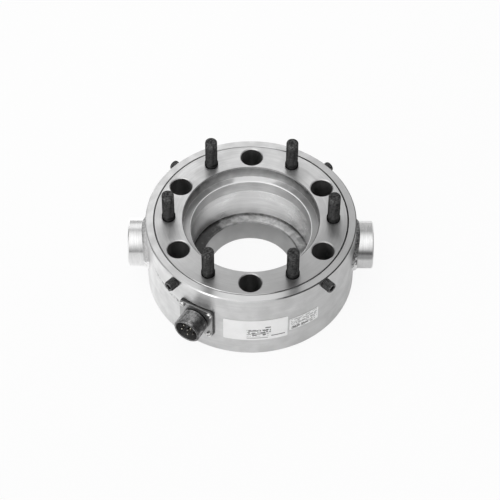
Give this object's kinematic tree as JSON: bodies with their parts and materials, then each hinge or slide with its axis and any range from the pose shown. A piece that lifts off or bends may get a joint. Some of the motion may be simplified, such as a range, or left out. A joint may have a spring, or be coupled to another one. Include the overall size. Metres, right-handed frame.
{
  "type": "torque transducer",
  "caption": "Hollow flange torque transducer: turned steel ring body, stepped bore, studded upper flange, side bosses and a threaded signal connector.",
  "frame": {"origin": "centre of the lower mounting face, on the torque axis", "axes": "+Z along the torque axis and out of the studded face, +X along the right-hand boss, the data label faces -Y"},
  "size_m": [0.222, 0.1997, 0.107],
  "materials": {
    "element_steel": "fine turned, satin",
    "housing_steel": "turned and brushed, satin",
    "sleeve_steel": "bored, satin",
    "boss_steel": "turned, bright",
    "weld_steel": "heat-tinted weld",
    "black_oxide_steel": "black oxide, oiled",
    "connector_alloy": "dark plated, worn at the edges",
    "insert_resin": "moulded, matt",
    "contact_metal": "plated, bright",
    "bright_screw_steel": "bright plated",
    "gasket_rubber": "matt",
    "seal_rubber": "matt",
    "label_film": "pale printed film, satin",
    "gauge_film": "amber film",
    "lead_jacket": "smooth jacket"
  },
  "bodies": {
    "root": {"sensing_element": "element_steel", "outer_housing": "housing_steel", "inner_sleeve": "sleeve_steel", "upper_seal_ring": "seal_rubber", "lower_seal_ring": "seal_rubber", "connector_shell": "connector_alloy", "connector_gasket": "gasket_rubber", "connector_insert": "insert_resin", "data_label": "label_film", "second_label": "label_film", "gauge_circuit": "gauge_film", "lead_grommet": "seal_rubber", "lead_bundle": "lead_jacket", "mounting_stud_1": "black_oxide_steel", "contact_pin_1": "contact_metal", "mounting_stud_2": "black_oxide_steel", "contact_pin_2": "contact_metal", "mounting_stud_3": "black_oxide_steel", "contact_pin_3": "contact_metal", "mounting_stud_4": "black_oxide_steel", "contact_pin_4": "contact_metal", "mounting_stud_5": "black_oxide_steel", "contact_pin_5": "contact_metal", "mounting_stud_6": "black_oxide_steel", "contact_pin_6": "contact_metal", "housing_screw_1": "black_oxide_steel", "connector_screw_1": "bright_screw_steel", "strain_gauge_1": "gauge_film", "housing_screw_2": "black_oxide_steel", "connector_screw_2": "bright_screw_steel", "strain_gauge_2": "gauge_film", "housing_screw_3": "black_oxide_steel", "connector_screw_3": "bright_screw_steel", "strain_gauge_3": "gauge_film", "housing_screw_4": "black_oxide_steel", "connector_screw_4": "bright_screw_steel", "strain_gauge_4": "gauge_film", "side_boss_left": "boss_steel", "boss_weld_left": "weld_steel", "side_boss_right": "boss_steel", "boss_weld_right": "weld_steel"}
  },
  "joints": []
}
